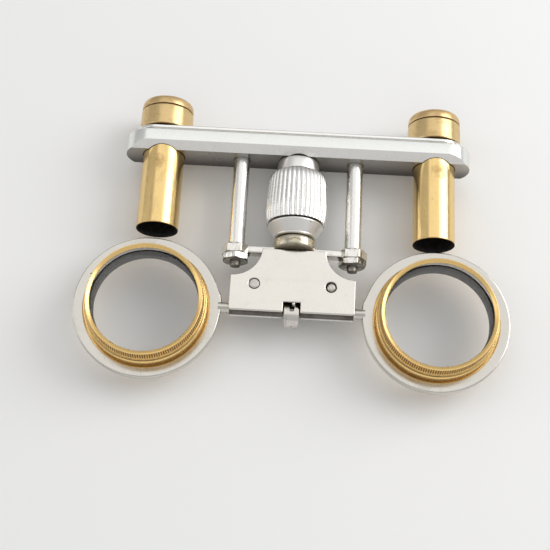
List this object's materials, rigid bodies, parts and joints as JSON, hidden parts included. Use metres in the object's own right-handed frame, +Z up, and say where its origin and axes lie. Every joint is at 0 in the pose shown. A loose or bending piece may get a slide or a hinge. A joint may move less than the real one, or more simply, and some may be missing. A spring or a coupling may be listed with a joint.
{
  "type": "opera glasses",
  "caption": "Folding opera glasses with a nickel eye bar, brass eye tubes, a fluted focus knob, a stem housing and swivelling objective lens rings.",
  "frame": {"origin": "centre of the underside of the bounding box of the folded glasses, below the focus knob", "axes": "+X along the eye bar from the left eye tube to the right one, +Y along the optical axes from the lens rings towards the eyes, +Z up, square to the flat of the folded glasses"},
  "size_m": [0.0974, 0.0664, 0.0144],
  "materials": {
    "bright_nickel": "polished nickel plate on brass, lightly worn",
    "satin_nickel": "satin nickel plate on brass, dulled by handling",
    "lacquered_brass": "lacquered brass with brown tarnish",
    "plain_brass": "bare brass, dull",
    "blackened_brass": "chemically blackened, matte",
    "steel": "turned steel, slightly tarnished",
    "optical_glass": "polished"
  },
  "bodies": {
    "ocular_bar": {"bar_shell": "satin_nickel", "bar_back_plate": "bright_nickel", "knob_bearing": "steel", "left_tube": "lacquered_brass", "left_eyecup": "lacquered_brass", "left_eye_cap": "lacquered_brass", "left_eye_lens": "optical_glass", "left_stop_ring": "blackened_brass", "left_rod_bush": "steel", "right_tube": "lacquered_brass", "right_eyecup": "lacquered_brass", "right_eye_cap": "lacquered_brass", "right_eye_lens": "optical_glass", "right_stop_ring": "blackened_brass", "right_rod_bush": "steel"},
    "knob": {"knob_spindle": "steel", "knob_collar": "satin_nickel", "knob_barrel": "satin_nickel", "knob_cone": "satin_nickel", "drive_sleeve": "plain_brass"},
    "carriage": {"cross_bar": "bright_nickel", "screw_post": "steel", "left_guide_rod": "bright_nickel", "right_guide_rod": "bright_nickel", "left_rod_nut": "bright_nickel", "right_rod_nut": "bright_nickel", "front_plate": "bright_nickel", "back_plate": "bright_nickel", "core_block": "plain_brass", "left_bearing_block": "plain_brass", "right_bearing_block": "plain_brass", "left_rivet": "bright_nickel", "right_rivet": "bright_nickel"},
    "left_objective": {"left_ring_frame": "bright_nickel", "left_lens_cell": "lacquered_brass", "left_retaining_ring": "lacquered_brass", "left_object_lens": "optical_glass", "left_stem_cam": "steel"},
    "right_objective": {"right_ring_frame": "bright_nickel", "right_lens_cell": "lacquered_brass", "right_retaining_ring": "lacquered_brass", "right_object_lens": "optical_glass", "right_stem_cam": "steel"},
    "catch": {"catch_clip": "steel"}
  },
  "joints": [
    {"name": "focus_turn", "type": "hinge", "parent": "ocular_bar", "child": "knob", "pos_m": [0, 0.0106, 0.0072], "axis": [0, 1, 0], "range_deg": [0, 315]},
    {"name": "focus_travel", "type": "slide", "parent": "ocular_bar", "child": "carriage", "axis": [0, -1, 0], "range_m": [0, 0.00351]},
    {"name": "left_fold", "type": "hinge", "parent": "carriage", "child": "left_objective", "pos_m": [-0.0325, -0.017, 0.0072], "axis": [1, 0, 0], "range_deg": [0, 90]},
    {"name": "right_fold", "type": "hinge", "parent": "carriage", "child": "right_objective", "pos_m": [0.0325, -0.017, 0.0072], "axis": [1, 0, 0], "range_deg": [0, 90]},
    {"name": "catch_press", "type": "slide", "parent": "carriage", "child": "catch", "axis": [0, 1, 0], "range_m": [0, 0.0008], "stiffness_N_per_m": 30, "springref_m": -0.001}
  ],
  "couplings": [
    {"joint": "focus_travel", "follows": "focus_turn", "m_per_rad": 0.00063662}
  ]
}
